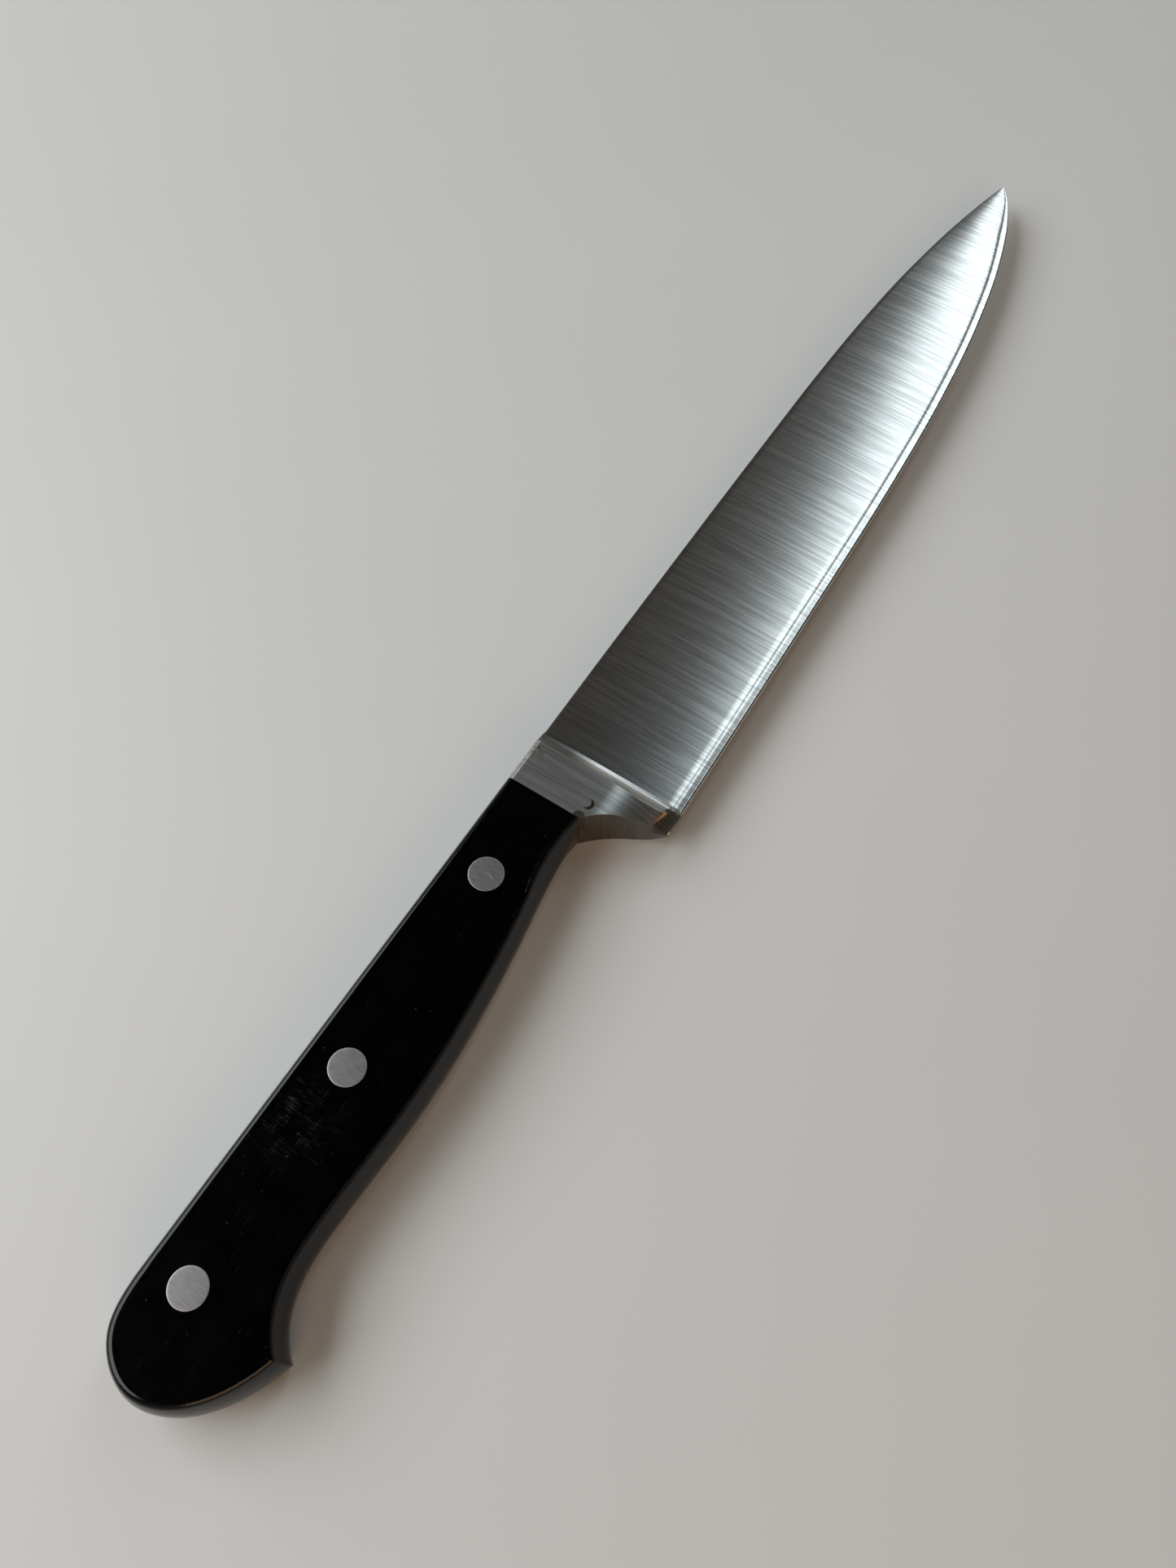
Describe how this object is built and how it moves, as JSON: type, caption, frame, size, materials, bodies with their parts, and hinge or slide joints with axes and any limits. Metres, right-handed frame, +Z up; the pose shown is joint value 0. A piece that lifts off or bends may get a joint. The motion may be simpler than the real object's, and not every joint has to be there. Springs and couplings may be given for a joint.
{
  "type": "chef knife",
  "caption": "Forged kitchen knife with a narrow straight-backed blade, a full bolster and a black riveted handle with a hooked butt.",
  "frame": {"origin": "under the middle of the whole knife's box, on the surface that the knife lies on", "axes": "knife lying on its side: +X from the butt to the tip, +Y from the cutting edge to the spine, +Z up through the flat of the handle"},
  "size_m": [0.3251, 0.0314, 0.012],
  "materials": {
    "blade_steel": "satin, ground across the blade",
    "handle_black": "polished, lightly scratched",
    "rivet_metal": "fine satin"
  },
  "bodies": {
    "root": {"blade": "blade_steel", "scale_upper": "handle_black", "scale_lower": "handle_black", "rivet_tube_front": "rivet_metal", "rivet_stud_front": "rivet_metal", "rivet_tube_middle": "rivet_metal", "rivet_stud_middle": "rivet_metal", "rivet_tube_rear": "rivet_metal", "rivet_stud_rear": "rivet_metal"}
  },
  "joints": []
}
